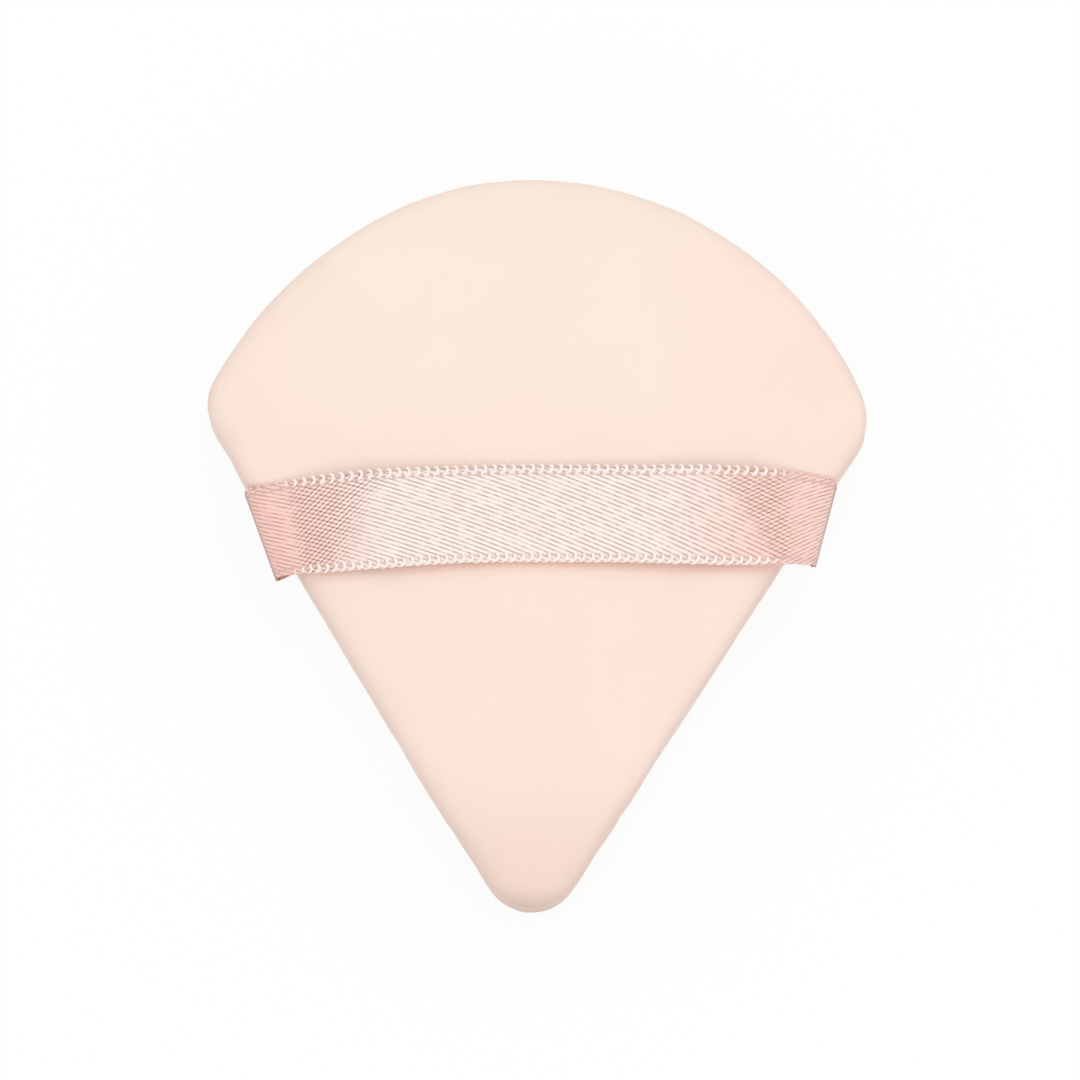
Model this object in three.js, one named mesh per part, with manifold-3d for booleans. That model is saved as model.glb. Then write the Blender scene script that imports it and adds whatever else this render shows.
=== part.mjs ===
// Fan-shaped velour powder puff with a woven ribbon finger strap.
// Millimetres, +Z up. The puff lies on its back face with the strap on top: the pointed tip is towards -Y and
// the broad curved end towards +Y. The origin is the middle of the outline, on the surface the puff lies on.
import * as THREE from "three";
import { mergeVertices } from "three/addons/utils/BufferGeometryUtils.js";
import Module from "manifold-3d";

// Outline of the puff, seen from above. The fan's depth runs from its top to the middles of its corners.
const PUFF_WIDTH = 72;
const PUFF_LENGTH = 80.5;
const FAN_DEPTH = 25.65;
const CORNER_RADIUS = 6.5;
const TIP_RADIUS = 5.5;

// Section of the puff. Insets run inwards from the outline, heights up or down from the seam plane.
const BACK_DEPTH = 6.2;
const FRONT_RISE = 6.8;
const CROWN_RISE = 0.7;
const RIM_WIDTH = 9;
const RIM_FULLNESS = 2.2;
const BULGE_HEIGHT = 1.8;
const SEAM_TUCK = 0.7;
const SEAM_GAP = 0.3;
const COVER_THICKNESS = 1.6;
const CORE_CLEARANCE = 0.3;

// Seam allowance turned inside, and the stitches through it. The stitch line stands off the cover's inside,
// and the allowance's raw edge lies past the stitch line by its margin.
const STITCH_STANDOFF = 1.3;
const ALLOWANCE_MARGIN = 2.8;
const ALLOWANCE_THICKNESS = 1;
const STITCH_LENGTH = 4;
const THREAD = 0.3;
const THREAD_CLEARANCE = 0.1;

// Stretch of seam left open to put the core in and then closed by hand, measured from the middle of the fan
const CLOSING_START = 5;
const CLOSING_LENGTH = 30;
const CLOSING_STITCH = 3.75;

// Ribbon strap. Its ends are gathered a little and sewn square into the side seams, with a tail past the
// stitch line. Its free span folds over to the front, along a line that leans out from the seam by an angle
// in degrees, and then lies close over the face. Its bow is how soon it straightens in plan past the fold.
const RIBBON_WIDTH = 11.5;
const RIBBON_END_WIDTH = 10;
const RIBBON_THICKNESS = 0.45;
const RIBBON_CLEARANCE = 0.15;
const STRAP_ROOT_Y = 2.3;
const STRAP_MIDDLE_Y = 2.4;
const STRAP_BOW = 0.8;
const RIBBON_TAIL = 1.5;
const RIBBON_END_PROUD = 0.1;
const STRAP_SPLIT = 0.4;
const FOLD_PROUD = 0.1;
const FOLD_LEAN = 14;
const FOLD_RISE = 1.8;
const STRAP_STANDOFF = 0.5;
const ARCH_SQUARENESS = 4;

// Facet counts
const FAN_STEPS = 8;
const CORNER_STEPS = 4;
const SIDE_STEPS = 6;
const TIP_STEPS = 6;
const RIM_STEPS = 5;
const CROWN_STEPS = 2;
const THREAD_SIDES = 5;
const FOLD_STEPS = 4;
const ARCH_STEPS = 10;
const RIBBON_STRIPS = 4;

const VELOUR = { color: 0xfde8db, roughness: 0.95, metalness: 0 };
const SPONGE = { color: 0xfff3df, roughness: 1, metalness: 0 };
const SATIN = { color: 0xf3cdc3, roughness: 0.45, metalness: 0 };
const SEWING = { color: 0xf9ddd0, roughness: 0.7, metalness: 0 };

const QUARTER_TURN = Math.PI / 2;
const wasm = await Module();
wasm.setup();

// Where the arcs of the outline sit, and the straight sides that are their common tangents
const cornerX = PUFF_WIDTH / 2 - CORNER_RADIUS;
const cornerY = PUFF_LENGTH / 2 - FAN_DEPTH;
const cornerReach = FAN_DEPTH ** 2 + cornerX ** 2 - CORNER_RADIUS ** 2;
const fanRadius = cornerReach / (2 * (FAN_DEPTH - CORNER_RADIUS));
const fanY = PUFF_LENGTH / 2 - fanRadius;
const tipY = TIP_RADIUS - PUFF_LENGTH / 2;
const cornerToTip = Math.hypot(cornerX, cornerY - tipY);
const sideAngle = Math.atan2(cornerX, cornerY - tipY) + Math.asin((CORNER_RADIUS - TIP_RADIUS) / cornerToTip);
const fanAngle = Math.atan2(cornerY - fanY, cornerX);
const sideOut = new THREE.Vector2(Math.cos(sideAngle), -Math.sin(sideAngle));
const sideUp = new THREE.Vector2(Math.sin(sideAngle), Math.cos(sideAngle));

// The point as far from the fan as from both sides, which the domed faces close in on
const centreY = (PUFF_LENGTH / 2 - TIP_RADIUS + tipY * Math.sin(sideAngle)) / (1 + Math.sin(sideAngle));
const centre = new THREE.Vector2(0, centreY);
const inradius = PUFF_LENGTH / 2 - centreY;
const parallelLimit = 0.9 * Math.min(TIP_RADIUS, CORNER_RADIUS);

// Insets and heights that the pieces share
const seamHeight = BACK_DEPTH;
const stitchInset = COVER_THICKNESS + STITCH_STANDOFF;
const rawEdge = stitchInset + ALLOWANCE_MARGIN;
const allowanceTop = SEAM_GAP / 2 + ALLOWANCE_THICKNESS;
const threadRun = allowanceTop + THREAD_CLEARANCE + THREAD / 2;
const grooveTop = threadRun + THREAD / 2 + CORE_CLEARANCE;
const threadStep = THREAD + THREAD_CLEARANCE;

function arc(x, y, radius, from, to) {
  return new THREE.EllipseCurve(x, y, radius, radius, from, to, true);
}

// The outline moved inwards by an inset, clockwise from the middle of the fan, as arcs and straight sides.
function outline(inset) {
  const fan = fanRadius - inset;
  const corner = CORNER_RADIUS - inset;
  const fanRight = arc(0, fanY, fan, QUARTER_TURN, fanAngle);
  const cornerRight = arc(cornerX, cornerY, corner, fanAngle, -sideAngle);
  const tip = arc(0, tipY, TIP_RADIUS - inset, -sideAngle, sideAngle - Math.PI);
  const cornerLeft = arc(-cornerX, cornerY, corner, sideAngle - Math.PI, -fanAngle - Math.PI);
  const fanLeft = arc(0, fanY, fan, Math.PI - fanAngle, QUARTER_TURN);
  const sideRight = new THREE.LineCurve(cornerRight.getPoint(1), tip.getPoint(0));
  const sideLeft = new THREE.LineCurve(tip.getPoint(1), cornerLeft.getPoint(0));
  const path = new THREE.CurvePath();
  [fanRight, cornerRight, sideRight, tip, sideLeft, cornerLeft, fanLeft].forEach((curve) => path.add(curve));
  return path;
}

const ringSteps = [FAN_STEPS, CORNER_STEPS, SIDE_STEPS, TIP_STEPS, SIDE_STEPS, CORNER_STEPS, FAN_STEPS];

function outlinePoints(inset) {
  const share = (curve, count) => Array.from({ length: count }, (_, k) => curve.getPoint(k / count));
  return outline(inset).curves.flatMap((curve, i) => share(curve, ringSteps[i]));
}

// A closed ring at an inset: parallel to the outline at the rim, and shrinking to the centre further in.
function ring(inset) {
  const weight = THREE.MathUtils.smoothstep(inset, 0, parallelLimit);
  const parallel = outlinePoints(Math.min(inset, parallelLimit));
  const shrunk = outlinePoints(0).map((p) => p.lerp(centre, inset / inradius));
  return parallel.map((p, i) => p.lerp(shrunk[i], weight));
}

function geometryOf(positions, triangles) {
  const geometry = new THREE.BufferGeometry();
  geometry.setAttribute("position", new THREE.Float32BufferAttribute(positions, 3));
  geometry.setIndex(triangles);
  return geometry;
}

// A closed solid of rings, one for each (inset, height) of a section that starts and ends at the centre.
function loft(section) {
  const rings = section.slice(1, -1);
  const count = ring(0).length;
  const positions = [centre.x, centre.y, seamHeight + section[0].y];
  const triangles = [];
  for (const { x: inset, y: height } of rings) {
    ring(inset).forEach((p) => positions.push(p.x, p.y, seamHeight + height));
  }
  positions.push(centre.x, centre.y, seamHeight + section.at(-1).y);
  const last = rings.length * count + 1;
  const vertex = (r, i) => 1 + r * count + (i % count);
  for (let i = 0; i < count; i++) {
    triangles.push(0, vertex(0, i + 1), vertex(0, i));
    for (let r = 0; r + 1 < rings.length; r++) {
      triangles.push(vertex(r, i), vertex(r, i + 1), vertex(r + 1, i + 1));
      triangles.push(vertex(r, i), vertex(r + 1, i + 1), vertex(r + 1, i));
    }
    triangles.push(last, vertex(rings.length - 1, i), vertex(rings.length - 1, i + 1));
  }
  return geometryOf(positions, triangles);
}

// Half of the puff's skin as (inset, height) points, from the centre of a face over the rim to the seam fold.
function skin(rise, crown) {
  const points = [];
  for (let k = 0; k < CROWN_STEPS; k++) {
    const outward = k / CROWN_STEPS;
    const inset = inradius - (inradius - RIM_WIDTH) * outward;
    points.push(new THREE.Vector2(inset, rise - crown * outward ** 2));
  }
  for (let k = RIM_STEPS; k >= 0; k--) {
    const a = (k / RIM_STEPS) * QUARTER_TURN;
    const inset = RIM_WIDTH * (1 - Math.cos(a) ** (2 / RIM_FULLNESS));
    const height = (rise - crown - BULGE_HEIGHT) * Math.sin(a) ** (2 / RIM_FULLNESS);
    points.push(new THREE.Vector2(inset, BULGE_HEIGHT + height));
  }
  points.push(new THREE.Vector2(SEAM_TUCK / 3, (BULGE_HEIGHT + SEAM_GAP / 2) / 2));
  points.push(new THREE.Vector2(SEAM_TUCK, SEAM_GAP / 2));
  return points;
}

// The same skin moved inwards by a depth, and ended square on a floor height.
function innerSkin(outer, depth, floor) {
  const moved = outer.map((p, i) => {
    const next = outer[Math.min(i + 1, outer.length - 1)];
    const along = next.clone().sub(outer[Math.max(i - 1, 0)]).normalize();
    return new THREE.Vector2(p.x - along.y * depth, p.y + along.x * depth);
  });
  moved[0].set(outer[0].x, outer[0].y - depth);
  const kept = moved.filter((p) => p.y > floor + THREAD);
  kept.push(new THREE.Vector2(kept.at(-1).x, floor));
  return kept;
}

// A cover's closed section: outer skin, seam fold, turned-in allowance and inner skin.
function coverSection(rise, crown) {
  const outer = skin(rise, crown);
  const inner = innerSkin(outer, COVER_THICKNESS, allowanceTop);
  const allowance = [new THREE.Vector2(rawEdge, SEAM_GAP / 2), new THREE.Vector2(rawEdge, allowanceTop)];
  return [...outer, ...allowance, ...inner.reverse()];
}

// The section of the back half is drawn the other way up, so it runs the other way round.
function turnOver(section) {
  return section.map((p) => new THREE.Vector2(p.x, -p.y)).reverse();
}

// The core's section fills both covers, with a groove round its edge for the allowances and the stitches.
function coreSection() {
  const depth = COVER_THICKNESS + CORE_CLEARANCE;
  const groove = new THREE.Vector2(rawEdge + CORE_CLEARANCE, grooveTop);
  const front = [...innerSkin(skin(FRONT_RISE, CROWN_RISE), depth, grooveTop), groove];
  const back = [...innerSkin(skin(BACK_DEPTH, 0), depth, grooveTop), groove];
  return [...front, ...turnOver(back)];
}

// A point beside the stitch line: a distance round it, a step to the inside and a height from the seam plane.
const stitchLine = outline(stitchInset);
const stitchLineLength = stitchLine.getLength();

function seamPoint(distance, inward, height) {
  const t = (distance / stitchLineLength) % 1;
  const at = stitchLine.getPoint(t);
  const along = stitchLine.getTangent(t);
  return new THREE.Vector3(at.x + along.y * inward, at.y - along.x * inward, seamHeight + height);
}

// Even stitch places between two distances round the seam, near a wished stitch length apart.
function stitchPlaces(from, to, length) {
  const count = Math.round((to - from) / length);
  return Array.from({ length: count }, (_, k) => from + ((k + 0.5) * (to - from)) / count);
}

const closingEnd = CLOSING_START + CLOSING_LENGTH;
const machinePlaces = stitchPlaces(closingEnd, stitchLineLength + CLOSING_START, STITCH_LENGTH);
const handPlaces = stitchPlaces(CLOSING_START, closingEnd, CLOSING_STITCH);

// The needle thread runs along the front allowance and dips through each hole in a loop across the seam.
function needleStitch(place) {
  const dip = -threadStep / 2;
  return [
    seamPoint(place, -threadStep, threadRun),
    seamPoint(place, -threadStep, dip),
    seamPoint(place, threadStep, dip),
    seamPoint(place, threadStep, threadRun),
  ];
}

// The bobbin thread runs along the back allowance and rises through each loop of the needle thread.
function bobbinStitch(place) {
  const rise = threadStep / 2;
  return [
    seamPoint(place - threadStep, 0, -threadRun),
    seamPoint(place - threadStep, 0, rise),
    seamPoint(place + threadStep, 0, rise),
    seamPoint(place + threadStep, 0, -threadRun),
  ];
}

// The hand stitches go through both allowances, down and up in turn.
function handStitch(place, index) {
  const first = index % 2 ? -threadRun : threadRun;
  return [seamPoint(place, 0, first), seamPoint(place, 0, -first)];
}

// A thread along straight runs, with a mitred ring of corners at each bend. Its first run is upright.
function sweepThread(points) {
  const positions = [];
  const triangles = [];
  const runs = points.slice(1).map((p, i) => p.clone().sub(points[i]).normalize());
  const across = new THREE.Vector3(1, 0, 0);
  points.forEach((point, i) => {
    const into = runs[Math.max(i - 1, 0)];
    const out = runs[Math.min(i, runs.length - 1)];
    const mitre = into.clone().add(out).normalize();
    const up = into.clone().cross(across);
    for (let k = 0; k < THREAD_SIDES; k++) {
      const a = (k / THREAD_SIDES) * 2 * Math.PI;
      const corner = across.clone().multiplyScalar(Math.cos(a)).addScaledVector(up, Math.sin(a));
      corner.multiplyScalar(THREAD / 2);
      corner.addScaledVector(into, -corner.dot(mitre) / into.dot(mitre));
      positions.push(...corner.add(point));
    }
    across.applyQuaternion(new THREE.Quaternion().setFromUnitVectors(into, out));
  });
  const vertex = (r, k) => r * THREAD_SIDES + (k % THREAD_SIDES);
  for (let r = 0; r + 1 < points.length; r++) {
    for (let k = 0; k < THREAD_SIDES; k++) {
      triangles.push(vertex(r, k), vertex(r, k + 1), vertex(r + 1, k + 1));
      triangles.push(vertex(r, k), vertex(r + 1, k + 1), vertex(r + 1, k));
    }
  }
  const last = points.length - 1;
  for (let k = 1; k + 1 < THREAD_SIDES; k++) {
    triangles.push(vertex(0, 0), vertex(0, k + 1), vertex(0, k));
    triangles.push(vertex(last, 0), vertex(last, k), vertex(last, k + 1));
  }
  return geometryOf(positions, triangles);
}

// Where the middle of the ribbon crosses the right-hand side of the outline
const sideStart = outline(0).curves[2].getPoint(0);
const strapRoot = sideStart.clone().addScaledVector(sideUp, (STRAP_ROOT_Y - sideStart.y) / sideUp.y);

// The ribbon's middle surface along the strap, at a distance across from its centre line, from right to left.
// It leaves the right seam square to the side, curls up and over the fold, then widens and arches across.
function strapLine(across) {
  const lean = Math.tan(THREE.MathUtils.degToRad(FOLD_LEAN));
  const gathered = (across * RIBBON_END_WIDTH) / RIBBON_WIDTH;
  const overhang = FOLD_PROUD + (RIBBON_END_WIDTH / 2 - gathered) * lean;
  const root = strapRoot.clone().addScaledVector(sideUp, gathered);
  root.addScaledVector(sideOut, RIBBON_END_PROUD + STRAP_SPLIT);
  const fold = root.clone().addScaledVector(sideOut, overhang);
  const foldZ = seamHeight + FOLD_RISE;
  const topZ = seamHeight + FRONT_RISE + STRAP_STANDOFF + RIBBON_THICKNESS / 2;
  const half = [];
  for (let k = 0; k < FOLD_STEPS; k++) {
    const a = (k / FOLD_STEPS) * QUARTER_TURN;
    const at = root.clone().lerp(fold, Math.sin(a));
    half.push(new THREE.Vector3(at.x, at.y, foldZ - FOLD_RISE * Math.cos(a)));
  }
  for (let k = 0; k <= ARCH_STEPS; k++) {
    const a = (k / ARCH_STEPS) * QUARTER_TURN;
    const reach = Math.cos(a) ** (2 / ARCH_SQUARENESS);
    const climb = Math.sin(a) ** (2 / ARCH_SQUARENESS);
    const y = THREE.MathUtils.lerp(fold.y, STRAP_MIDDLE_Y + across, (1 - reach ** 2) ** STRAP_BOW);
    half.push(new THREE.Vector3(fold.x * reach, y, THREE.MathUtils.lerp(foldZ, topZ, climb)));
  }
  const other = half.slice(0, -1).map((p) => new THREE.Vector3(-p.x, p.y, p.z));
  return [...half, ...other.reverse()];
}

// A closed solid of a thickness about a grid of points.
function thicken(lines, thickness) {
  const steps = lines[0].length;
  const positions = [];
  const triangles = [];
  const within = (k, count) => THREE.MathUtils.clamp(k, 0, count - 1);
  const point = (j, i) => lines[within(j, lines.length)][within(i, steps)];
  for (const side of [1, -1]) {
    lines.forEach((line, j) =>
      line.forEach((p, i) => {
        const along = point(j, i + 1).clone().sub(point(j, i - 1));
        const across = point(j + 1, i).clone().sub(point(j - 1, i));
        const normal = across.cross(along).normalize();
        positions.push(...p.clone().addScaledVector(normal, (side * thickness) / 2));
      }),
    );
  }
  const top = (j, i) => j * steps + i;
  const under = (j, i) => lines.length * steps + top(j, i);
  const quad = (a, b, c, d) => triangles.push(a, b, c, a, c, d);
  for (let i = 0; i + 1 < steps; i++) {
    for (let j = 0; j + 1 < lines.length; j++) {
      quad(top(j, i), top(j + 1, i), top(j + 1, i + 1), top(j, i + 1));
      quad(under(j, i), under(j, i + 1), under(j + 1, i + 1), under(j + 1, i));
    }
    const far = lines.length - 1;
    quad(top(0, i), top(0, i + 1), under(0, i + 1), under(0, i));
    quad(top(far, i), under(far, i), under(far, i + 1), top(far, i + 1));
  }
  for (let j = 0; j + 1 < lines.length; j++) {
    const far = steps - 1;
    quad(top(j, 0), under(j, 0), under(j + 1, 0), top(j + 1, 0));
    quad(top(j, far), top(j + 1, far), under(j + 1, far), under(j, far));
  }
  return geometryOf(positions, triangles);
}

function strapSpan() {
  const share = (k) => RIBBON_WIDTH * (k / RIBBON_STRIPS - 0.5);
  const lines = Array.from({ length: RIBBON_STRIPS + 1 }, (_, k) => strapLine(share(k)));
  return thicken(lines, RIBBON_THICKNESS);
}

// A sewn-in end of the ribbon, square to its side (1 right, -1 left). A clearance makes it the pocket.
function ribbonEnd(side, clearance) {
  const inset = stitchInset + RIBBON_TAIL;
  const depth = inset + RIBBON_END_PROUD + 2 * clearance;
  const width = RIBBON_END_WIDTH + 2 * clearance;
  const box = new THREE.BoxGeometry(depth, width, RIBBON_THICKNESS + 2 * clearance);
  const middle = strapRoot.clone().addScaledVector(sideOut, (RIBBON_END_PROUD - inset) / 2);
  box.rotateZ(-side * sideAngle);
  return box.translate(side * middle.x, middle.y, seamHeight);
}

// A square hole through both allowances at a place on the seam, wide enough for its stitch.
function needleHole(place, reach) {
  const size = 2 * (reach + THREAD / 2 + THREAD_CLEARANCE);
  const along = stitchLine.getTangent((place / stitchLineLength) % 1);
  const box = new THREE.BoxGeometry(size, size, 2 * grooveTop);
  box.rotateZ(Math.atan2(along.y, along.x));
  return box.translate(...seamPoint(place, 0, 0));
}

function toSolid(geometry) {
  const bare = geometry.clone().deleteAttribute("normal").deleteAttribute("uv");
  const merged = mergeVertices(bare);
  const vertProperties = new Float32Array(merged.attributes.position.array);
  const triVerts = new Uint32Array(merged.index.array);
  return new wasm.Manifold(new wasm.Mesh({ numProp: 3, vertProperties, triVerts }));
}

function toGeometry(solid) {
  const { vertProperties, triVerts } = solid.getMesh();
  return geometryOf(Array.from(vertProperties), Array.from(triVerts));
}

const joinAll = (geometries) => geometries.map(toSolid).reduce((a, b) => a.add(b));

const machineHoles = machinePlaces.map((place) => needleHole(place, threadStep));
const handHoles = handPlaces.map((place) => needleHole(place, 0));
const holes = joinAll([...machineHoles, ...handHoles]);
const pockets = joinAll([ribbonEnd(1, RIBBON_CLEARANCE), ribbonEnd(-1, RIBBON_CLEARANCE)]);

function cover(section) {
  return toGeometry(toSolid(loft(section)).subtract(holes).subtract(pockets));
}

function sewnEnd(side) {
  return toGeometry(toSolid(ribbonEnd(side, 0)).subtract(holes));
}

const powderPuff = new THREE.Group();
powderPuff.name = "powder_puff";

function addPiece(name, geometry, look) {
  geometry.computeVertexNormals();
  const mesh = new THREE.Mesh(geometry, new THREE.MeshStandardMaterial(look));
  mesh.name = name;
  powderPuff.add(mesh);
}

addPiece("front_cover", cover(coverSection(FRONT_RISE, CROWN_RISE)), VELOUR);
addPiece("back_cover", cover(turnOver(coverSection(BACK_DEPTH, 0))), VELOUR);
addPiece("sponge_core", loft(coreSection()), SPONGE);
addPiece("ribbon_strap", strapSpan(), SATIN);
addPiece("ribbon_end_right", sewnEnd(1), SATIN);
addPiece("ribbon_end_left", sewnEnd(-1), SATIN);
addPiece("seam_needle_thread", sweepThread(machinePlaces.flatMap(needleStitch)), SEWING);
addPiece("seam_bobbin_thread", sweepThread(machinePlaces.flatMap(bobbinStitch)), SEWING);
addPiece("closing_thread", sweepThread(handPlaces.flatMap(handStitch)), SEWING);

export default powderPuff;
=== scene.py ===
# Looks of a fan-shaped velour powder puff with a woven ribbon finger strap.
# The puff lies on its back with the strap on top, the pointed tip towards -Y and the broad end towards +Y.
import math

import bpy
import numpy as np
from mathutils import Matrix, Vector, noise


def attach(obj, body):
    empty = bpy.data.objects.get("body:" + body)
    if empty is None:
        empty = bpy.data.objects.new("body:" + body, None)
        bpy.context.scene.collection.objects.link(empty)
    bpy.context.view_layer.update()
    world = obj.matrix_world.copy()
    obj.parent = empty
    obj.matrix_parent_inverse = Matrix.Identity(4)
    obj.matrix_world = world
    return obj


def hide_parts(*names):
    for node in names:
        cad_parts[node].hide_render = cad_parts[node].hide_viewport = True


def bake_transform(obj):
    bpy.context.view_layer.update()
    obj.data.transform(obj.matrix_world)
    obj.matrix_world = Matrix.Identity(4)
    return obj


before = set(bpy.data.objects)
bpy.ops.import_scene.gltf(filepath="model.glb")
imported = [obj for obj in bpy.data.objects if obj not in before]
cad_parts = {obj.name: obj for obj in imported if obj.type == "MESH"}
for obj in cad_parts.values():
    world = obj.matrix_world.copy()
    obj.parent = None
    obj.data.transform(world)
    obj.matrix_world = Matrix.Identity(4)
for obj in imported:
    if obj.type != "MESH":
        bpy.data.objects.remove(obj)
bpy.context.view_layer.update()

MM = 0.001
TURN = 2 * math.pi
QUARTER = math.pi / 2

# Outline and section of the puff in millimetres, as in the solids apart from the fuller rim
PUFF_WIDTH = 72.0
PUFF_LENGTH = 80.5
FAN_DEPTH = 25.65
CORNER_RADIUS = 6.5
TIP_RADIUS = 5.5
SEAM_HEIGHT = 6.2
FRONT_RISE = 6.8
BACK_DEPTH = 6.2
CROWN_RISE = 0.7
RIM_WIDTH = 9.0
RIM_FULLNESS = 3.6
RIM_PARALLEL = 1.5
BULGE_HEIGHT = 1.8
SEAM_TUCK = 0.7
SEAM_GAP = 0.3
COVER_THICKNESS = 1.6
CORE_CLEARANCE = 0.3
ALLOWANCE_THICKNESS = 1.0
STITCH_INSET = 2.9
RAW_EDGE = 5.7

# The covers by the way they face, 1 up and -1 down: how far each rises from the seam, and its crown
COVERS = {1: (FRONT_RISE, CROWN_RISE), -1: (BACK_DEPTH, 0.0)}

# Where the outline was sewn off its pattern: the distance round it from the middle of the fan, clockwise,
# then how far the slip spreads along it and how far outwards it goes
SLIPS = [
    (-6.0, 6.0, 0.17),
    (21.0, 5.0, -0.17),
    (33.0, 5.0, -0.14),
    (50.5, 3.0, 0.18),
    (119.0, 6.0, -0.45),
    (176.5, 2.6, -0.36),
    (181.5, 3.0, 0.25),
    (199.0, 9.0, -0.36),
]

# Nap of the velour: the height and size of its broad lie and of its coarse and fine pile, how deep all of
# it is set, and the heights from the seam over which the lie fades out
NAP_LIE = (0.06, 9.0)
NAP_COARSE = (0.035, 0.9)
NAP_FINE = (0.02, 0.45)
NAP_SINK = 0.05
NAP_LIE_SPAN = (4.0, 6.0)

# Cut cells on the foam: their height and size, and how deep they are set
FOAM_CELLS = (0.12, 1.3)
FOAM_SINK = 0.05

# Sewing: stitch lengths, thread size and twist, a direction that no stitch runs along, and the stretch of
# seam that is closed by hand
STITCH_LENGTH = 4.0
THREAD = 0.3
THREAD_HALF_HEIGHT = 0.34 * THREAD
THREAD_TWIST = 0.9
THREAD_ASIDE = (0.31, 0.82, 0.47)
THREAD_STEP = 0.4
THREAD_RUN = 1.4
CLOSING_START = 5.0
CLOSING_LENGTH = 30.0
CLOSING_STITCH = 3.75

# Ribbon: each end has the height on its side where its middle is sewn in, its gathered width, its fold's
# lean, its bow, which is how soon its lower and upper edges straighten in plan past the fold, and how far
# it stands proud of the seam. The ribbon flares a little over a span of distances from its middle
RIBBON_WIDTH = 11.5
GROUND_WIDTH = 10.2
RIBBON_THICKNESS = 0.28
RIBBON_TAIL = 4.4
RIGHT_END = {"side": 1, "root_y": 3.4, "width": 9.7, "lean": 18.0, "bow": (0.25, 0.5), "proud": 0.15}
LEFT_END = {"side": -1, "root_y": 1.0, "width": 11.15, "lean": 11.0, "bow": (1.05, 1.05), "proud": 0.3}
STRAP_MIDDLE_Y = 2.5
STRAP_SLANT = 0.8
FLARE = 0.06
FLARE_SPAN = (8.0, 22.0)
FOLD_RISE = 1.8
FOLD_TOP = SEAM_HEIGHT + FOLD_RISE
EDGE_DROOP = 0.4
STRAP_TOP = 13.725
ARCH_SQUARENESS = 4.0

# Where a ribbon end presses the seam open: how soon that ends beside it, how far it lifts each cover, and
# the heights from the seam over which the lift fades out
OPENING_FADE = 1.5
OPENING_LIFT = 0.16
OPENING_SPAN = (0.3, 1.6)

# Weave and looped edges of the ribbon: each edge has its side, the distance of its rings from the ribbon's
# middle, how far the rings reach to either side of that, and the span over which they flatten at the ends
TWILL_RISE = 0.5
TWILL_RUN = 1.27
TWILL_FLOAT = 1.1
TWILL_RIDGE = 0.015
LEFT_CROSS_RUN = 0.68
RIGHT_CROSS_RUN = 0.9
UPPER_EDGE = {"side": 1, "middle": 4.98, "reach": 0.47, "flatten": (22.5, 28.0)}
LOWER_EDGE = {"side": -1, "middle": 4.73, "reach": 0.42, "flatten": (24.0, 29.5)}
PICOT_PITCH = 0.98
PICOT_CURL = 0.45
PICOT_LEAN = -0.1
PICOT_LIFT = 0.04
PICOT_UNEVEN = (0.25, 1.1)
PICOT_START = 0.8
EDGE_YARN_TWIST = 0.8

# Half width and half height of the edge yarn, the share of that width left where it goes under, and the
# shares of its reach, lift, height and paleness, which is painted light, that are left where the rings are
# flat
PICOT_YARN = (0.18, 0.1)
UNDER_WIDTH = 0.72
FLAT_REACH = 0.6
FLAT_LIFT = 0.4
FLAT_HEIGHT = 0.5
FLAT_PALE = 0.3

# Swelling of the covers: how far the filling may push them, over how many steps each way its broad part is
# found, how far from the seam it fades out, and how far from it the ribbon's ends hold the cloth.
# The cloth that finds it is enlarged by a scale, and has so many points round it and for each stitch
SWELL_MOST = 0.09
SWELL_BROAD = 4
SWELL_FADE = (4.0, 9.0)
SWELL_HELD = (3.0, 7.0)
SWELL_SCALE = 10.0
SWELL_ROUND = 171
SWELL_PER_STITCH = 3
SWELL_STEP = 1.3
SWELL_FRAMES = 20
CLOTH_QUALITY = 8
CLOTH_MASS = 0.002
FILLING_PRESSURE = 4.0

# Fineness of the meshes. A ring has half of its points when it has shrunk to a share of its full size, and
# half again each time that it is half of that
ARC_POINTS = 400
OUTLINE_POINTS = 2400
SKIN_POINTS = (60, 120, 40)
VELOUR_STEP = 0.36
VELOUR_ROUND = 704
ALLOWANCE_STEP = 0.9
INSIDE_STEP = 2.2
INSIDE_COARSER = 4
CORE_STEP = 0.9
CORE_ROUND = 176
FULL_RING = 0.82
SMALLEST_RING = 0.02
MOST_HALVINGS = 4
TAIL_LINES = 22
FOLD_LINES = 18
ARCH_LINES = 240
ARCH_CROWDING = 1.3
RIBBON_STEP = 0.22
RIBBON_STRIPS = 90
PICOT_STEPS = 16
YARN_SIDES = 8
THREAD_SPACING = 0.12
THREAD_EASING = 2
STITCH_LINE_POINTS = 2000

# Baking maps: the size and middle of the discs of a cover, and how much of a strip or row is used
OUTSIDE_DISC = (0.96, [0.5, 0.37])
INSIDE_DISC = (0.16, [0.12, 0.1])
STRIP_HEIGHT = 0.92
STRIP_LENGTH = 0.97
WALL_HEIGHT = 0.03
ROW_HEIGHT = 0.9

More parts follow.
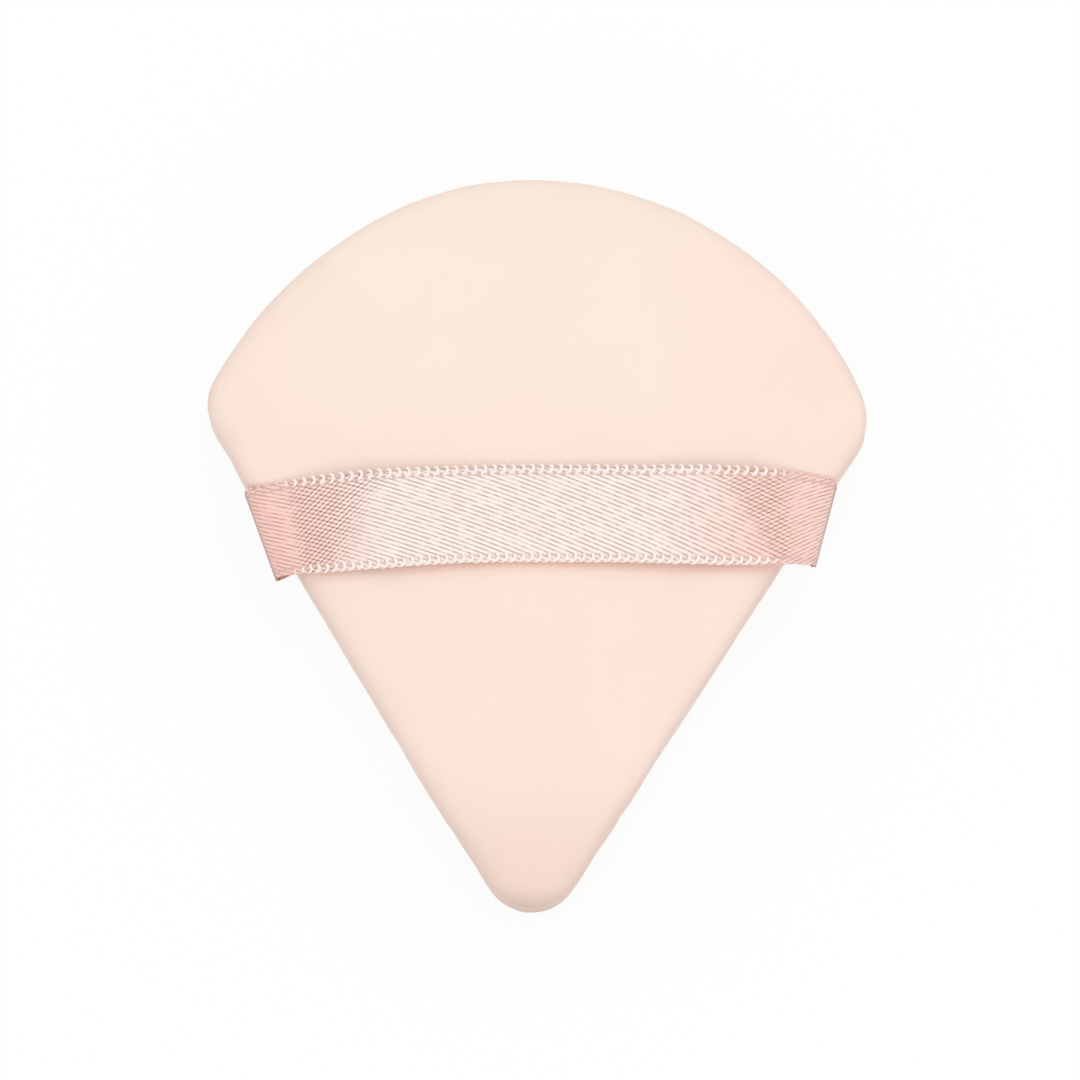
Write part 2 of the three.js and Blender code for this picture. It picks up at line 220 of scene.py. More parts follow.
# Colours in 8-bit sRGB, from the velour's pile to the foam
PILE = (255, 231, 219)
PILE_YELLOWED = (254, 236, 222)
# Painted shade of the pile towards the tip
PILE_TIP_SHADE = (240, 211, 198)
# Painted shadow on the pile at the tip's end
PILE_TIP_SHADOW = (216, 193, 180)
PILE_UNEVEN = (250, 225, 212)
# Painted shadow of the strap on the pile below its lower edge
PILE_STRAP_SHADOW = (255, 212, 195)
# Painted sheen of the satin where it lies level, then its own colour at the left and right ends
SATIN_SHEEN = (255, 247, 239)
SATIN_LEFT = (255, 214, 204)
SATIN_RIGHT = (255, 225, 215)
SATIN_UNEVEN = (232, 190, 180)
# Colours of the twill's troughs and dashes under the painted sheen and past it
TROUGH_SHEEN = (245, 216, 208)
TROUGH_TURNED = (247, 194, 184)
DASH_SHEEN = (192, 156, 146)
DASH_TURNED = (204, 141, 130)
KNOT = (128, 72, 62)
# The selvage's own deeper colour, and painted shade at the holes for the edge yarn
SELVAGE_AND_HOLE_SHADE = (222, 184, 174)
# Painted shade where the ribbon turns down over its folds
FOLD_SHADE = (144, 92, 83)
LOOP_PALE = (255, 248, 241)
LOOP_UNDER_SHADE = (242, 214, 204)
# Painted shade of the edge yarn where it goes under, and its rosy colour by the folds
LOOP_ROSY = (248, 208, 198)
# Painted shade in the grooves of the edge yarn's twist
LOOP_GROOVE_SHADE = (232, 196, 184)
THREAD_PALE = (249, 221, 208)
# Painted shade in the thread's grooves, also its random deeper grain
THREAD_GROOVE_SHADE_AND_GRAIN = (222, 184, 168)
FOAM = (255, 243, 223)
# Painted shade in the foam's cells
FOAM_PIT_SHADE = (226, 206, 178)
FOAM_UNEVEN = (244, 226, 198)

# Where the colours change: the place where a change starts, the place where it ends, and the shares that it
# goes between if they aren't 0 and 1. Those of the velour are along Y, aside from a middle, across from the
# middle of the strap, and up from the seam
YELLOWED_ALONG = (-4.0, 24.0)
YELLOWED_MIDDLE = -6.0
YELLOWED_ASIDE = (36.0, 14.0)
# Painted shade that deepens the pile towards the tip
TIP_SHADE_ALONG = (-22.0, -41.0, 0.0, 0.7)
# Painted shadow on the tip's end, where its wall turns away from the light
TIP_SHADOW_ALONG = (-37.6, -40.2, 0.0, 0.6)
# Painted shadow of the strap: where it starts and ends across from the strap's middle, and up from the seam
STRAP_SHADOW_STARTS = (-7.0, -5.2, 0.0, 0.55)
STRAP_SHADOW_ENDS = (-5.0, -3.6, 1.0, 0.0)
STRAP_SHADOW_HEIGHT = (1.0, 3.0)

# Those of the ribbon: along it, from the top of its folds, and across it. A twill also starts or ends on a
# slant, the first value
# Where the painted sheen of the ribbon fades out towards its folds
SHEEN_MIDDLE = -1.6
SHEEN_FADE_ALONG = (13.0, 28.5)
SIDES = (-1.0, 1.0)
LEFT_CROSS_STARTS = (-0.13, -27.3, -25.0)
LEFT_CROSS_ENDS = (-0.65, -21.4, -17.6, 1.0, 0.0)
RIGHT_CROSS_STARTS = (0.82, 21.6, 24.8)
TWILL_ENDS = (0.24, 26.4, 28.8, 1.0, 0.12)
# Painted shade on the folds, measured up from their top
FOLD_SHADE_STARTS = (-1.6, -0.2, 0.0, 0.8)
FOLD_SHADE_ENDS = (0.8, 2.6, 1.0, 0.0)
SELVAGE_STARTS = (4.2, 4.4)
SELVAGE_ENDS = (4.6, 4.8, 1.0, 0.2)
LOOP_ROSY_ASIDE = (20.0, 30.0)

# How strongly the weave shows, and how much weaker the knots of its crossing are at the right
# Share of painted shade in the twill's hollows
TROUGH_SHADE_SHARE = 0.6
DASH_SHARE = 0.72
RIGHT_KNOTS = 0.7

# Camera and light
CAMERA_AIM = (0.00054, 0.00082, 0.0062)
CAMERA_ELEVATION = 81.0
CAMERA_ROLL = 0.975
CAMERA_DISTANCE = 1.0
CAMERA_CLIP = (0.01, 100)
FRAME_WIDTH = 0.11821
SENSOR = 36.0
SKY_LEVEL = 0.89
LAMP_DISTANCE = 0.9
LAMP_SIZE = 0.35
KEY_LAMP = {"azimuth": 25.0, "elevation": 50.0, "power": 0.7}
FRONT_LAMP = {"azimuth": 175.0, "elevation": 35.0, "power": 0.62}
FLOOR_REACH = 3000
FLOOR_BOUNCE = 0.66
FLOOR_SHADE = 0.12


def smoothstep(x, low, high):
    t = np.clip((np.asarray(x, float) - low) / (high - low), 0, 1)
    return t * t * (3 - 2 * t)


def rising(least, share):
    """A factor that rises from its least to 1 as a share does from 0."""
    return least + (1 - least) * share


def unit(vectors):
    return vectors / np.linalg.norm(vectors, axis=-1, keepdims=True)


def path_length(points):
    return np.append(0, np.cumsum(np.linalg.norm(np.diff(points, axis=0), axis=1)))


def taken_at(wanted, places, rows):
    """Rows of values at wanted places, on straight lines between the rows whose places are given."""
    return np.stack([np.interp(wanted, places, column) for column in rows.T], 1)


def spaced(points, step):
    """A line of points taken again at even steps."""
    reach = path_length(points)
    count = max(2, int(round(reach[-1] / step)) + 1)
    return taken_at(np.linspace(0, reach[-1], count), reach, points)


def at_height(plan, height):
    return np.column_stack([plan, np.broadcast_to(height, len(plan))])


def relief(place, kind, shift=(0, 0, 0)):
    """Height of a smooth random relief at a place. Its kind is its greatest height and its size."""
    height, size = kind
    return height * noise.noise(place / size + Vector(shift))


# Where the arcs of the outline sit, and the straight sides that are their common tangents
CORNER_X = PUFF_WIDTH / 2 - CORNER_RADIUS
CORNER_Y = PUFF_LENGTH / 2 - FAN_DEPTH
FAN_RADIUS = (FAN_DEPTH**2 + CORNER_X**2 - CORNER_RADIUS**2) / (2 * (FAN_DEPTH - CORNER_RADIUS))
FAN_Y = PUFF_LENGTH / 2 - FAN_RADIUS
TIP_Y = TIP_RADIUS - PUFF_LENGTH / 2
CORNER_TO_TIP = math.hypot(CORNER_X, CORNER_Y - TIP_Y)
SIDE_TAPER = math.asin((CORNER_RADIUS - TIP_RADIUS) / CORNER_TO_TIP)
SIDE_ANGLE = math.atan2(CORNER_X, CORNER_Y - TIP_Y) + SIDE_TAPER
FAN_ANGLE = math.atan2(CORNER_Y - FAN_Y, CORNER_X)
SIDE_OUT = np.array([math.cos(SIDE_ANGLE), -math.sin(SIDE_ANGLE)])
SIDE_UP = np.array([math.sin(SIDE_ANGLE), math.cos(SIDE_ANGLE)])
SIDE_REACH = TIP_RADIUS + SIDE_OUT[1] * TIP_Y

# The largest circle in the outline touches the fan and both sides
CENTRE_Y = (PUFF_LENGTH / 2 - TIP_RADIUS + TIP_Y * math.sin(SIDE_ANGLE)) / (1 + math.sin(SIDE_ANGLE))
CENTRE = np.array([0, CENTRE_Y])
INRADIUS = PUFF_LENGTH / 2 - CENTRE_Y
PARALLEL_LIMIT = 0.9 * min(TIP_RADIUS, CORNER_RADIUS)


def arc(x, y, radius, start, stop):
    angle = np.linspace(start, stop, ARC_POINTS)
    normal = np.stack([np.cos(angle), np.sin(angle)], 1)
    return np.hstack([[x, y] + radius * normal, normal])


def outline_line():
    """The closed outline, clockwise from the middle of the fan, as rows of x, y and outward normal."""
    line = np.vstack([
        arc(0, FAN_Y, FAN_RADIUS, QUARTER, FAN_ANGLE),
        arc(CORNER_X, CORNER_Y, CORNER_RADIUS, FAN_ANGLE, -SIDE_ANGLE),
        arc(0, TIP_Y, TIP_RADIUS, -SIDE_ANGLE, SIDE_ANGLE - math.pi),
        arc(-CORNER_X, CORNER_Y, CORNER_RADIUS, SIDE_ANGLE - math.pi, -FAN_ANGLE - math.pi),
        arc(0, FAN_Y, FAN_RADIUS, math.pi - FAN_ANGLE, QUARTER),
    ])
    found = path_length(line[:, :2])
    reach = np.linspace(0, found[-1], OUTLINE_POINTS)
    line = taken_at(reach, found, line)
    for place, spread, step in SLIPS:
        away = (reach - place + reach[-1] / 2) % reach[-1] - reach[-1] / 2
        line[:, :2] += line[:, 2:] * step * np.exp(-((away / spread) ** 2) / 2)[:, None]
    return line


OUTLINE = outline_line()
OUTLINE_REACH = path_length(OUTLINE[:, :2])
OUTLINE_LENGTH = OUTLINE_REACH[-1]


def even_distances(count):
    return np.arange(count) * OUTLINE_LENGTH / count


def around(distance, inset=0.0):
    """Points of the outline moved inwards by an inset, at distances round it."""
    found = taken_at(np.asarray(distance) % OUTLINE_LENGTH, OUTLINE_REACH, OUTLINE)
    return found[:, :2] - unit(found[:, 2:]) * inset


def ring(distance, inset):
    """Points round the puff at an inset, parallel to the outline at the rim and shrunk further in."""
    edge = around(distance)
    parallel = around(distance, min(inset, PARALLEL_LIMIT))
    shrunk = edge + (CENTRE - edge) * (inset / INRADIUS)
    return parallel + (shrunk - parallel) * smoothstep(inset, RIM_PARALLEL, PARALLEL_LIMIT)


def skin(facing, step):
    """The outside of a cover as (inset, height) points, from the centre of its face to the seam."""
    rise, crown = COVERS[facing]
    face_points, rim_points, lip_points = SKIN_POINTS
    outward = np.linspace(0, 1, face_points)
    inset = INRADIUS - (INRADIUS - RIM_WIDTH) * outward
    face = np.stack([inset, rise - crown * outward**2], 1)
    a = np.linspace(QUARTER, 0, rim_points)[1:]
    inset = RIM_WIDTH * (1 - np.cos(a) ** (2 / RIM_FULLNESS))
    height = BULGE_HEIGHT + (rise - crown - BULGE_HEIGHT) * np.sin(a) ** (2 / RIM_FULLNESS)
    rim = np.stack([inset, height], 1)
    drop = np.linspace(0, 1, lip_points)[1:]
    tuck = SEAM_TUCK * (1 - np.sqrt(1 - drop**2))
    lip = np.stack([tuck, BULGE_HEIGHT + (SEAM_GAP / 2 - BULGE_HEIGHT) * drop], 1)
    return spaced(np.vstack([face, rim, lip]), step)


def inner_skin(outer, depth, floor):
    """The same skin moved inwards by a depth, and ended square on a floor height."""
    along = unit(np.gradient(outer, axis=0))
    moved = outer + depth * np.stack([-along[:, 1], along[:, 0]], 1)
    moved[0] = outer[0] - [0, depth]
    kept = moved[moved[:, 1] > floor + THREAD]
    return np.vstack([kept, [kept[-1, 0], floor]])


def new_piece(name, points, faces):
    mesh = bpy.data.meshes.new(name)
    mesh.from_pydata((np.asarray(points) * MM).tolist(), [], faces)
    mesh.update()
    mesh.shade_smooth()
    piece = bpy.data.objects.new(name, mesh)
    bpy.context.scene.collection.objects.link(piece)
    return piece


def read_points(mesh, kind="co"):
    values = np.zeros(len(mesh.vertices) * 3, np.float32)
    mesh.vertices.foreach_get(kind, values)
    return values.reshape(-1, 3).astype(float)


def read_whole(items, kind):
    """A whole number of each corner or face of a mesh."""
    values = np.zeros(len(items), np.int32)
    items.foreach_get(kind, values)
    return values


def move_points(mesh, points):
    mesh.vertices.foreach_set("co", np.asarray(points, np.float32).ravel())
    mesh.update()


def add_vectors(mesh, name, values):
    made = mesh.attributes.new(name, "FLOAT_VECTOR", "POINT")
    made.data.foreach_set("vector", np.asarray(values, np.float32).ravel())


def add_bake_map(mesh, corners):
    """The map that patterns are baked through, one place for each corner of each face."""
    layer = mesh.uv_layers.new(name="OFBake", do_init=False)
    layer.uv.foreach_set("vector", np.asarray(corners, np.float32).ravel())


def bridge(a, a_count, b, b_count):
    """Faces between two closed rings of points. The second has as many points, half or twice as many."""
    if a_count == b_count:
        nexts = [(i + 1) % a_count for i in range(a_count)]
        return [(a + i, a + j, b + j, b + i) for i, j in enumerate(nexts)]
    faces = []
    few, many = sorted((a_count, b_count))
    fine, plain = (a, b) if a_count == many else (b, a)
    for i in range(few):
        near, far = plain + i, plain + (i + 1) % few
        left, middle, right = fine + 2 * i, fine + 2 * i + 1, fine + (2 * i + 2) % many
        faces += [(left, middle, near), (middle, far, near), (middle, right, far)]
    return faces if a_count == many else [face[::-1] for face in faces]


def loft(rings):
    """Points and faces of a closed skin through rings of points, whose first and last are single points.

    The bands tell which ring each face starts from.
    """
    starts = np.append(0, np.cumsum([len(r) for r in rings]))
    faces = []
    bands = []
    for k in range(len(rings) - 1):
        a, b = int(starts[k]), int(starts[k + 1])
        a_count, b_count = len(rings[k]), len(rings[k + 1])
        if a_count == 1:
            made = [(a, b + (i + 1) % b_count, b + i) for i in range(b_count)]
        elif b_count == 1:
            made = [(a + i, a + (i + 1) % a_count, b) for i in range(a_count)]
        else:
            made = bridge(a, a_count, b, b_count)
        faces += made
        bands += [k] * len(made)
    return np.vstack(rings), faces, np.array(bands)


def round_count(inset, most):
    """Points of a ring, fewer the more it has shrunk."""
    shrunk = max(1 - inset / INRADIUS, SMALLEST_RING)
    if shrunk >= FULL_RING:
        return most
    halvings = int(math.log2(FULL_RING / shrunk)) + 1
    return most // 2 ** min(halvings, MOST_HALVINGS)


def side_point(end):
    """Where the middle of a ribbon end crosses its side of the outline."""
    x = (SIDE_REACH - SIDE_OUT[1] * end["root_y"]) / SIDE_OUT[0]
    return np.array([end["side"] * x, end["root_y"]])


def ribbon_opening(points):
    """How far the seam is pressed open at points round it, from 0 to 1, where a ribbon end goes through."""
    opened = np.zeros(len(points))
    for end in (LEFT_END, RIGHT_END):
        from_root = points - side_point(end)
        along = np.abs(from_root @ [end["side"] * SIDE_UP[0], SIDE_UP[1]])
        near = np.linalg.norm(from_root, axis=1) < RIBBON_WIDTH
        edge = end["width"] / 2
        opened = np.maximum(opened, near * (1 - smoothstep(along, edge, edge + OPENING_FADE)))
    return opened


def rim_section(facing):
    """The part of a cover's section that the filling can swell, and its distance from the seam."""
    whole = skin(facing, SWELL_STEP)
    rim = whole[whole[:, 0] <= RIM_WIDTH + SWELL_STEP]
    reach = path_length(rim)
    return rim, reach[-1] - reach


def rim_bag():
    """Rings of points over the rim of both covers, and how firmly each is held, from 0 to 1.

    The first and last ring lie on the foam, the seam is held at each stitch, and the ribbon holds it at its
    ends.
    """
    distance = even_distances(SWELL_ROUND)
    at_stitch = np.arange(SWELL_ROUND) % SWELL_PER_STITCH == 0
    opened = ribbon_opening(around(distance))
    rings, held = [], []
    for facing in COVERS:
        rim, from_seam = rim_section(facing)
        for k in range(len(rim))[::facing]:
            inset, height = rim[k]
            rings.append(at_height(ring(distance, inset), SEAM_HEIGHT + facing * height))
            firm = opened * (1 - smoothstep(from_seam[k], *SWELL_HELD))
            if k == 0:
                firm = np.ones(SWELL_ROUND)
            if k == len(rim) - 1:
                firm = np.maximum(firm, at_stitch)
            held.append(firm)
    return np.array(rings), np.array(held)


def rim_swell():
    """How the filling moves the rim of each cover, in rows along its section from the face to the seam.

    Both covers are simulated as one bag of cloth. Their pattern allows for the broad part of the swell, so
    only what changes from stitch to stitch is kept.
    """
    plain, held = rim_bag()
    moves = simulate_swell(plain, held) - plain
    steps = range(-SWELL_BROAD, SWELL_BROAD + 1)
    moves -= sum(np.roll(moves, step, 1) for step in steps) / len(steps)
    length = np.linalg.norm(moves, axis=2, keepdims=True)
    moves *= np.minimum(1, SWELL_MOST / np.maximum(length, 1e-6))
    front_reach, back_reach = (rim_section(facing)[1] for facing in COVERS)
    fading = 1 - smoothstep(np.append(front_reach, back_reach[::-1]), *SWELL_FADE)
    moves *= fading[:, None, None]
    return moves[:len(front_reach)], moves[len(front_reach):][::-1]


def simulate_swell(rings, held):
    """The rings of a bag of cloth after its filling has pressed on it."""
    rows, count = rings.shape[:2]
    faces = [face for k in range(rows - 1) for face in bridge(k * count, count, (k + 1) * count, count)]
    bag = new_piece("swelling_bag", rings.reshape(-1, 3) * SWELL_SCALE, faces)
    grip = bag.vertex_groups.new(name="held")
    for i, firm in enumerate(held.ravel()):
        grip.add([i], float(firm), "REPLACE")
    cloth = bag.modifiers.new("swell", "CLOTH")
    cloth.settings.quality = CLOTH_QUALITY
    cloth.settings.mass = CLOTH_MASS
    cloth.settings.use_pressure = True
    cloth.settings.uniform_pressure_force = FILLING_PRESSURE
    cloth.settings.vertex_group_mass = "held"
    cloth.settings.effector_weights.gravity = 0
    scene = bpy.context.scene
    for number in range(1, SWELL_FRAMES + 1):
        scene.frame_set(number)
    pressed = bag.evaluated_get(bpy.context.evaluated_depsgraph_get())
    points = read_points(pressed.to_mesh()) / MM / SWELL_SCALE
    pressed.to_mesh_clear()
    bpy.data.objects.remove(bag)
    scene.frame_set(1)
    return points.reshape(rows, count, 3)


def taken_swell(moves, from_seam, place, distance):
    """Moves of the rim at a place along the section, measured from the seam, and at distances round it."""
    if place > from_seam[0]:
        return np.zeros((len(distance), 3))
    row = np.interp(place, from_seam[::-1], np.arange(len(from_seam))[::-1])
    low = min(int(row), len(from_seam) - 2)
    line = moves[low] + (moves[low + 1] - moves[low]) * (row - low)
    line = np.vstack([line, line[:1]])
    return taken_at(distance, np.linspace(0, OUTLINE_LENGTH, len(line)), line)


def cover_rings(section, facing, last_outer, seam, swell):
    """Rings of a cover along its section, with its swell and its ribbon openings."""
    rings = []
    reach = path_length(section)
    _, from_seam = rim_section(facing)
    for k, (inset, height) in enumerate(section):
        if k in (0, len(section) - 1):
            rings.append(np.array([[*CENTRE, SEAM_HEIGHT + facing * height]]))
            continue
        count = round_count(inset, VELOUR_ROUND)
        if k > last_outer and inset < INRADIUS / 2:
            count //= INSIDE_COARSER
        distance = even_distances(count)
        lifted = OPENING_LIFT * (1 - smoothstep(height, *OPENING_SPAN)) * ribbon_opening(around(distance))
        points = at_height(ring(distance, inset), SEAM_HEIGHT + facing * (height + lifted))
        if k <= seam:
            points += taken_swell(swell, from_seam, reach[seam] - reach[k], distance)
        rings.append(points)
    return rings


def velour_cover(name, facing, swell):
    """A cover with its turned-in seam allowance: a fine outer skin, and a plain inside."""
    outer = skin(facing, VELOUR_STEP)
    top = SEAM_GAP / 2 + ALLOWANCE_THICKNESS
    fold = spaced(np.array([[SEAM_TUCK, SEAM_GAP / 2], [RAW_EDGE, SEAM_GAP / 2]]), ALLOWANCE_STEP)[1:]
    inside = inner_skin(skin(facing, INSIDE_STEP), COVER_THICKNESS, top)[::-1]
    section = np.vstack([outer, fold, [[RAW_EDGE, top]], inside])
    seam = len(outer) - 1
    last_outer = seam + len(fold)
    rings = cover_rings(section, facing, last_outer, seam, swell)
    points, faces, bands = loft(rings)
    if facing < 0:
        faces = [face[::-1] for face in faces]
    piece = new_piece(name, points, faces)
    raise_nap(piece, sum(len(r) for r in rings[:len(outer)]), facing)
    map_cover(piece, rings, section, bands, last_outer)
    return piece


def raise_nap(piece, outer_count, facing):
    """Fine uneven pile on the outside of a cover, which stays flat where it rests."""
    mesh = piece.data
    points = read_points(mesh) / MM
    normals = read_points(mesh, "normal")
    rim = np.interp(np.abs(points[:, 2] - SEAM_HEIGHT), NAP_LIE_SPAN, (1, 0))
    for i in range(outer_count):
        place = Vector(points[i])
        lie = relief(place, NAP_LIE, (0, 0, 7 * facing))
        pile = relief(place, NAP_COARSE) + relief(place, NAP_FINE, (5, 1, 2))
        points[i] += normals[i] * (lie * rim[i] + pile - NAP_SINK)
    if facing < 0:
        points[:, 2] = np.maximum(points[:, 2], 0)
    move_points(mesh, points * MM)


def map_cover(piece, rings, section, bands, last_outer):
    """Lays the outside of a cover out as one disc, and its inside as a small disc in a corner."""
    reach = path_length(section)
    edges = [around(even_distances(len(points))) - CENTRE for points in rings]
    outside_share = reach / reach[last_outer]
    inside_share = (reach[-1] - reach) / (reach[-1] - reach[last_outer])
    discs = []
    for shares, (size, middle) in ((outside_share, OUTSIDE_DISC), (inside_share, INSIDE_DISC)):
        laid = np.vstack([edge * share for edge, share in zip(edges, shares)])
        discs.append(laid / PUFF_LENGTH * size + middle)
    mesh = piece.data
    corner = read_whole(mesh.loops, "vertex_index")
    outside = np.repeat(bands < last_outer, read_whole(mesh.polygons, "loop_total"))
    add_bake_map(mesh, np.where(outside[:, None], discs[0][corner], discs[1][corner]))


def foam_core():
    """The foam pad that fills both covers, grooved round its edge for the allowances and stitches."""
    depth = COVER_THICKNESS + CORE_CLEARANCE
    groove_top = THREAD_RUN + THREAD / 2 + CORE_CLEARANCE
    groove = [[RAW_EDGE + CORE_CLEARANCE, groove_top]]
    front, back = (
        np.vstack([inner_skin(skin(facing, CORE_STEP), depth, groove_top), groove]) for facing in COVERS
    )
    section = np.vstack([front, back[::-1] * [1, -1]])
    rings = []
    for k, (inset, height) in enumerate(section):
        if k in (0, len(section) - 1):
            plan = CENTRE[None]
        else:
            plan = ring(even_distances(round_count(inset, CORE_ROUND)), inset)
        rings.append(at_height(plan, SEAM_HEIGHT + height))
    points, faces, _ = loft(rings)
    piece = new_piece("foam_core", points, faces)
    points = read_points(piece.data) / MM
    normals = read_points(piece.data, "normal")
    cut = np.array([relief(Vector(p), FOAM_CELLS) - FOAM_SINK for p in points])
    move_points(piece.data, (points + normals * cut[:, None]) * MM)
    return piece


def strap_half(end, across):
    """Points along half of the ribbon, from its tail to the top of the arch, at distances across it."""
    up = SIDE_UP * [end["side"], 1]
    out = SIDE_OUT * [end["side"], 1]
    gathered = across * end["width"] / RIBBON_WIDTH
    overhang = ((end["width"] / 2 - gathered) * math.tan(math.radians(end["lean"])))[:, None]
    seam = side_point(end) + gathered[:, None] * up
    root = seam + out * end["proud"]
    fold = root + overhang * out
    bow = np.interp(across, [-RIBBON_WIDTH / 2, RIBBON_WIDTH / 2], end["bow"])
    crest = STRAP_TOP - EDGE_DROOP * (2 * across / RIBBON_WIDTH) ** 2
    lines = []
    for t in np.linspace(-RIBBON_TAIL, end["proud"], TAIL_LINES)[:-1]:
        lines.append(at_height(seam + out * t, SEAM_HEIGHT))
    for a in np.linspace(0, QUARTER, FOLD_LINES)[:-1]:
        height = SEAM_HEIGHT + FOLD_RISE * (1 - math.cos(a))
        lines.append(at_height(root + overhang * math.sin(a) * out, height))
    for a in np.linspace(0, 1, ARCH_LINES) ** ARCH_CROWDING * QUARTER:
        reach = math.cos(a) ** (2 / ARCH_SQUARENESS)
        climb = math.sin(a) ** (2 / ARCH_SQUARENESS)
        x = fold[:, 0] * reach
        flared = across * (1 + FLARE * smoothstep(np.abs(x), *FLARE_SPAN))
        straight = STRAP_MIDDLE_Y + flared + x * math.tan(math.radians(STRAP_SLANT))
        y = fold[:, 1] + (straight - fold[:, 1]) * (1 - reach**2) ** bow
        lines.append(np.column_stack([x, y, FOLD_TOP + (crest - FOLD_TOP) * climb]))
    return np.stack(lines, 1)


class Ribbon:
    """The ribbon's middle surface: a grid of points across and along, taken again at even steps along."""

    def __init__(self, width, strips, step):
        self.across = np.linspace(-0.5, 0.5, strips + 1) * width
        left = strap_half(LEFT_END, self.across)
        right = strap_half(RIGHT_END, self.across)[:, ::-1]
        grid = np.concatenate([left, right[:, 1:]], 1)
        middle = path_length(grid[strips // 2])
        top = middle[left.shape[1] - 1]
        even = np.linspace(0, middle[-1], int(round(middle[-1] / step)) + 1)
        self.along = even - top
        self.grid = np.stack([taken_at(even, middle, line) for line in grid])
        self.normal = unit(np.cross(np.gradient(self.grid, axis=1), np.gradient(self.grid, axis=0)))

    def length(self):
        return self.along[-1] - self.along[0]


def woven_ribbon(ribbon):
    """The ribbon as one closed length, with raised twill lines on both sides.

    Its weave attribute holds the places along and across it and its height at rest.
    """
    rows, columns = ribbon.grid.shape[:2]
    u, v = np.meshgrid(ribbon.along, ribbon.across)
    ridge = TWILL_RIDGE * np.sin(TURN * (v / TWILL_RISE + u / TWILL_RUN))
    half = (RIBBON_THICKNESS / 2 + ridge)[..., None]
    points = np.concatenate([
        (ribbon.grid + ribbon.normal * half).reshape(-1, 3),
        (ribbon.grid - ribbon.normal * half).reshape(-1, 3),
    ])
    under = rows * columns

    def at(j, i):
        return j * columns + i

    def wall(p, q):
        return p, q, under + q, under + p

    faces, charts = [], []
    for j in range(rows - 1):
        for i in range(columns - 1):
            face = (at(j, i), at(j, i + 1), at(j + 1, i + 1), at(j + 1, i))
            faces += [face, tuple(under + p for p in reversed(face))]
            charts += [0, 1]
    last_row, last = rows - 1, columns - 1
    walls = []
    for i in range(last):
        walls += [wall(at(0, i + 1), at(0, i)), wall(at(last_row, i), at(last_row, i + 1))]
    for j in range(last_row):
        walls += [wall(at(j, 0), at(j + 1, 0)), wall(at(j + 1, last), at(j, last))]
    piece = new_piece("ribbon", points, faces + walls)
    weave = np.tile(np.stack([u, v, ribbon.grid[..., 2]], 2).reshape(-1, 3), (2, 1))
    add_vectors(piece.data, "weave", weave)
    map_ribbon(piece, weave, under, np.array(charts + [0] * len(walls)), ribbon)
    return piece


def map_ribbon(piece, weave, under, charts, ribbon):
    """Lays both sides of the ribbon out in four strips, each half of its length."""
    mesh = piece.data
    corner = read_whole(mesh.loops, "vertex_index")
    chart = np.repeat(charts, 4)
    along = (weave[corner, 0] - ribbon.along[0]) / ribbon.length()
    share = (weave[corner, 1] / GROUND_WIDTH + 0.5) * STRIP_HEIGHT + (1 - STRIP_HEIGHT) / 2
    lower = (corner >= under) & (chart == 0)
    share += lower * np.where(share > 0.5, WALL_HEIGHT, -WALL_HEIGHT)
    half = np.repeat(along.reshape(-1, 4).mean(1) < 0.5, 4)
    x = np.where(half, along, along - 0.5) * 2 * STRIP_LENGTH + (1 - STRIP_LENGTH) / 2
    y = (share + 2 * chart + half) / 4
    add_bake_map(mesh, np.stack([x, y], 1))


def tube(name, line, sections, spin, pale):
    """A yarn along a line of points. Each section is its half width and half height, and spin turns it.

    Its yarn attribute holds the place along it, the turn round it and how pale it is, from 0 to 1;
    below 1 an edge yarn gets painted shade.
    """
    count = len(line)
    tangent = unit(np.gradient(line, axis=0))
    lift = unit(spin - (spin * tangent).sum(1, keepdims=True) * tangent)
    wide = np.cross(lift, tangent)
    rings = []
    for k in range(YARN_SIDES):
        a = TURN * k / YARN_SIDES
        rings.append(line + wide * sections[:, :1] * math.cos(a) + lift * sections[:, 1:] * math.sin(a))
    points = np.stack(rings, 1).reshape(-1, 3)
    faces = []
    for i in range(count - 1):
        faces += bridge(i * YARN_SIDES, YARN_SIDES, (i + 1) * YARN_SIDES, YARN_SIDES)
    faces.append(tuple(reversed(range(YARN_SIDES))))
    faces.append(tuple(range((count - 1) * YARN_SIDES, count * YARN_SIDES)))
    piece = new_piece(name, points, faces)
    turn = np.arange(YARN_SIDES) / YARN_SIDES
    reach = np.repeat(path_length(line), YARN_SIDES)
    add_vectors(piece.data, "yarn", np.stack([reach, np.tile(turn, count), np.repeat(pale, YARN_SIDES)], 1))
    map_tube(piece, count)
    return piece


def map_tube(piece, count):
    """Lays a yarn's skin out in rows of short lengths, with its two end caps in the last row."""
    per_row = max(8, int(math.sqrt(count * YARN_SIDES / 2)))
    rows = count // per_row + 2
    margin = (1 - ROW_HEIGHT) / 2
    corners = []
    for i in range(count - 1):
        row, place = divmod(i, per_row)
        left, right = place / (per_row + 1), (place + 1) / (per_row + 1)
        for k in range(YARN_SIDES):
            low, high = ((row + margin + ROW_HEIGHT * n / YARN_SIDES) / rows for n in (k, k + 1))
            corners += [(left, low), (left, high), (right, high), (right, low)]
    for cap in range(2):
        for k in range(YARN_SIDES):
            a = TURN * k / YARN_SIDES
            corners.append((0.1 + 0.2 * cap + 0.03 * math.cos(a), (rows - 0.5 + 0.3 * math.sin(a)) / rows))
    add_bake_map(piece.data, corners)


